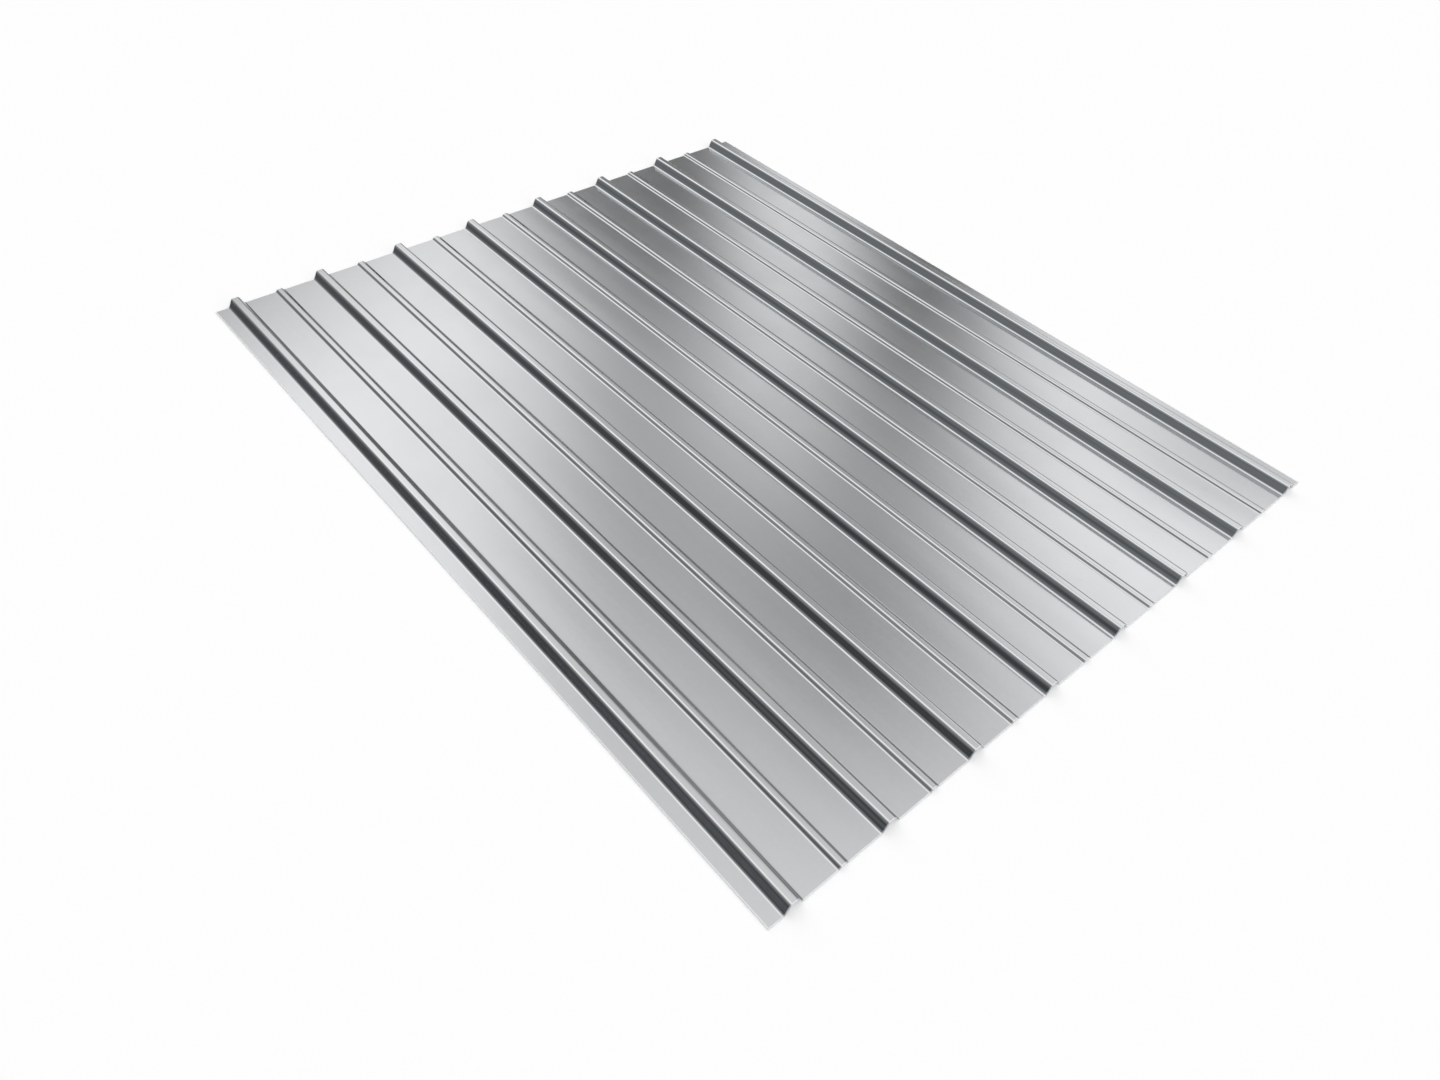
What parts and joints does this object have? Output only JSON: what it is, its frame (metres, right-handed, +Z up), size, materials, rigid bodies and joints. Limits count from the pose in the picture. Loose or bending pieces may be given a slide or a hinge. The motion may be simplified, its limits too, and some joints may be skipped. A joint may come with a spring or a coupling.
{
  "type": "corrugated metal sheet",
  "caption": "Flat-lying roll-formed metal cladding sheet with narrow trapezoidal ribs, wide pans stiffened by low ribs, and a flat lap flange along each long edge.",
  "frame": {"origin": "below the middle of the sheet, on the plane that the pan undersides rest on", "axes": "+X across the ribs from the left long edge to the right one, +Y along the ribs, +Z up from the pans towards the rib crests"},
  "size_m": [1.122, 1.35, 0.015],
  "materials": {
    "zinc_coated_steel": "bare zinc coating, satin, with a faint fine grain along the rolling direction"
  },
  "bodies": {
    "root": {"profiled_sheet": "zinc_coated_steel"}
  },
  "joints": []
}
